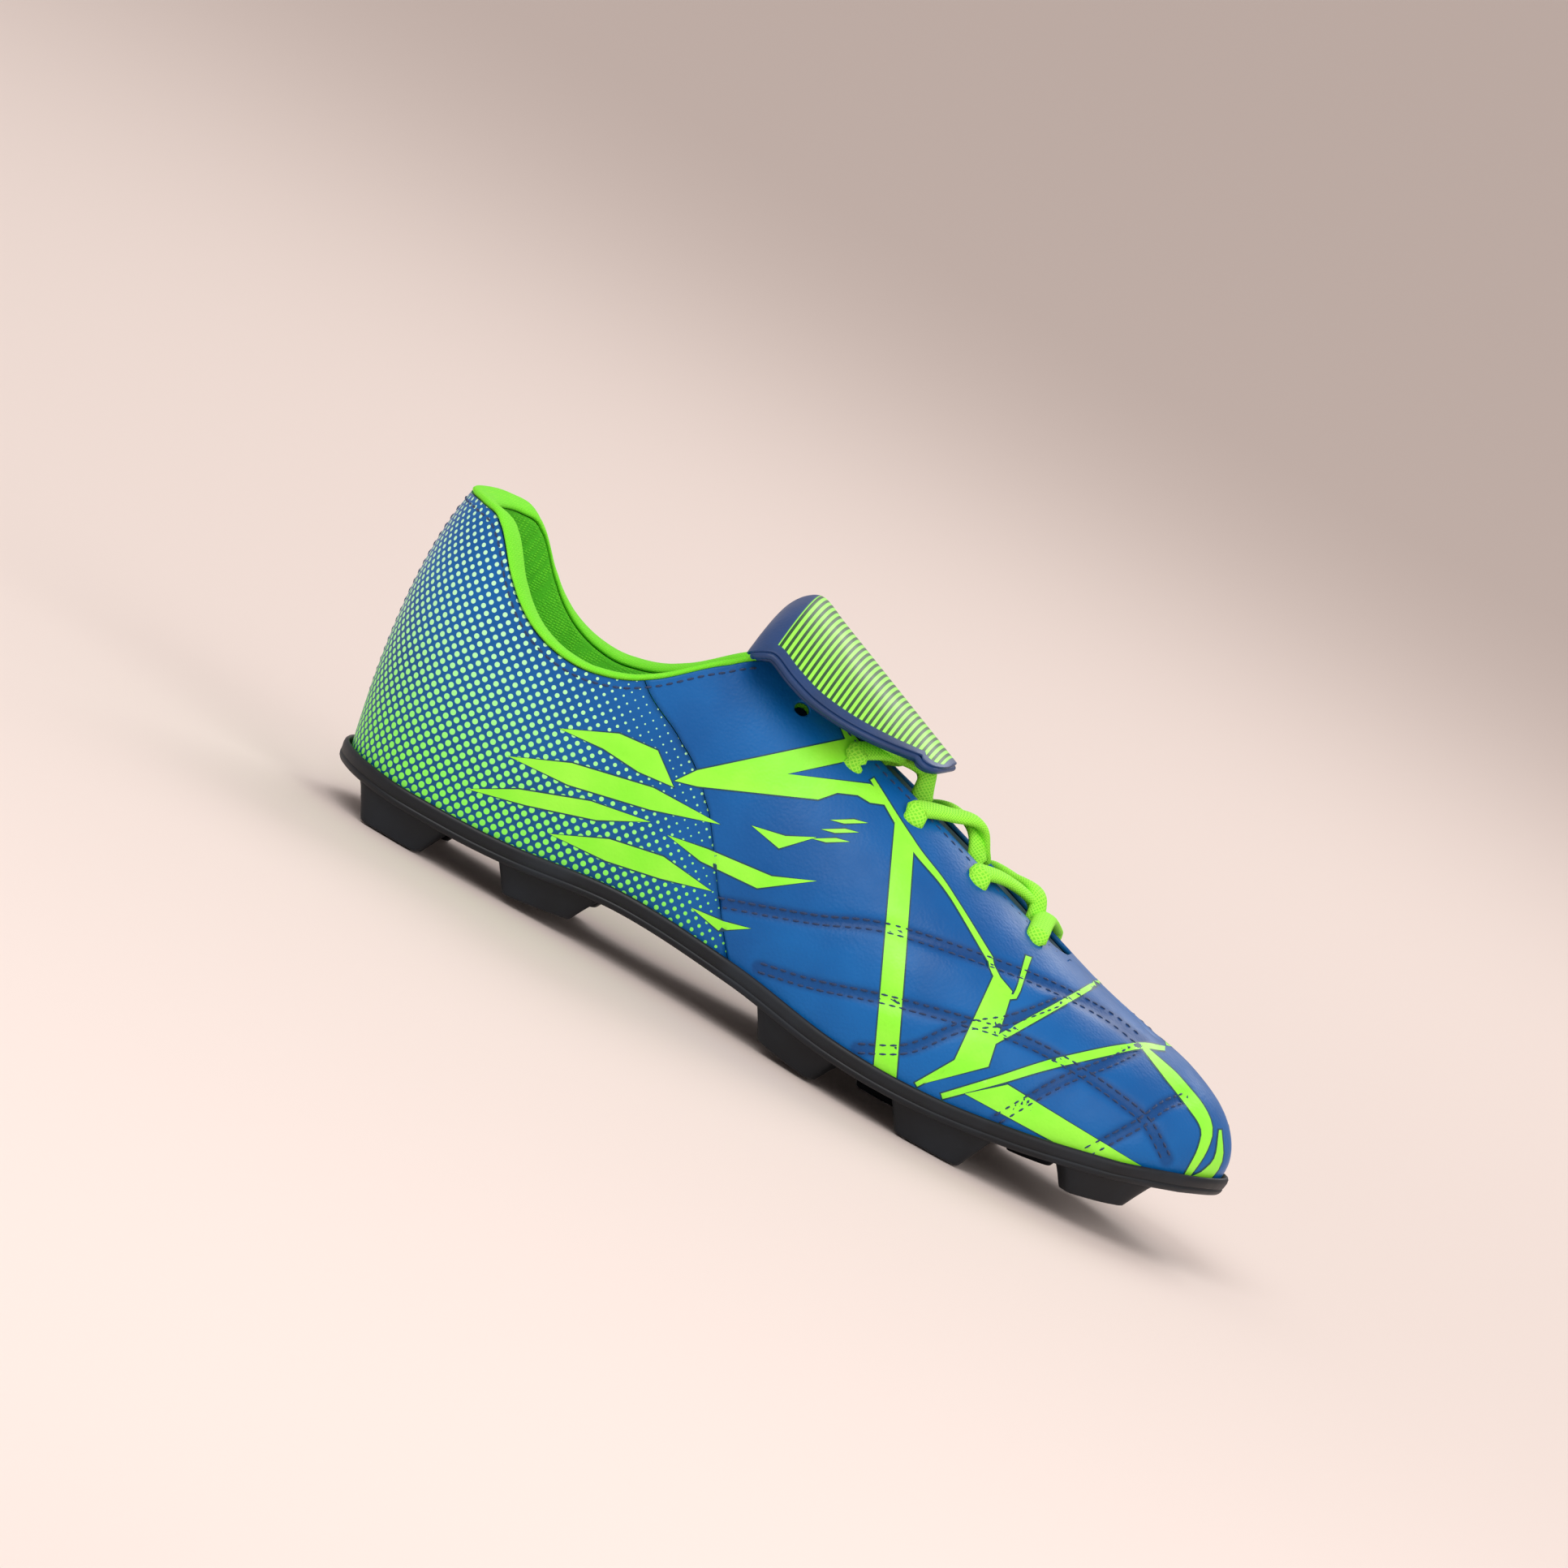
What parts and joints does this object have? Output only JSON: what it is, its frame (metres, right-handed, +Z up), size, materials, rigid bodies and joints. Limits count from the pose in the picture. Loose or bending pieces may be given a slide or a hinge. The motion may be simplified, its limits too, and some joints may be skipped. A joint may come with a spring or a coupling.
{
  "type": "soccer cleat",
  "caption": "Low-cut synthetic leather soccer cleat for the right foot: moulded outsole with blade studs, laced throat, and a hinged fold-over tongue flap that covers the laces.",
  "frame": {"origin": "middle of the bounding box, on the ground plane under the studs", "axes": "+X toward the toe, +Y toward the medial side, +Z up"},
  "size_m": [0.2908, 0.0976, 0.1193],
  "materials": {
    "upper": "smooth coated synthetic leather, royal blue, printed",
    "binding": "soft lime green knit",
    "lining": "lime green textile",
    "tongue": "dark blue textile",
    "flap": "lime green with fine dark cross stripes",
    "lace": "woven oval lace, lime green",
    "foam": "open foam, dark blue",
    "board": "fibre board",
    "stiffener": "thermoformed sheet, blue grey",
    "outsole": "injection moulded, charcoal black, fine texture",
    "aglet": "clear lime film"
  },
  "bodies": {
    "boot": {"outsole": "outsole", "insole_board": "board", "footbed": "foam", "footbed_cover": "lining", "vamp": "upper", "quarter_lateral": "upper", "quarter_medial": "upper", "eyestay_reinforcement_lateral": "stiffener", "eyestay_reinforcement_medial": "stiffener", "vamp_foam_lateral": "foam", "vamp_foam_medial": "foam", "toe_puff": "stiffener", "heel_counter": "stiffener", "collar_foam": "foam", "vamp_lining": "lining", "quarter_lining": "lining", "topline_binding": "binding", "tongue_outer": "tongue", "tongue_foam": "foam", "tongue_lining": "lining", "lace": "lace", "aglet_lateral": "aglet", "aglet_medial": "aglet"},
    "tongue_flap": {"tongue_flap_outer": "flap", "tongue_flap_foam": "foam", "tongue_flap_lining": "tongue"}
  },
  "joints": [
    {"name": "tongue_flap_hinge", "type": "hinge", "parent": "boot", "child": "tongue_flap", "pos_m": [-0.0467, 0.00173, 0.10354], "axis": [0, -1, 0], "range_deg": [0, 80]}
  ]
}
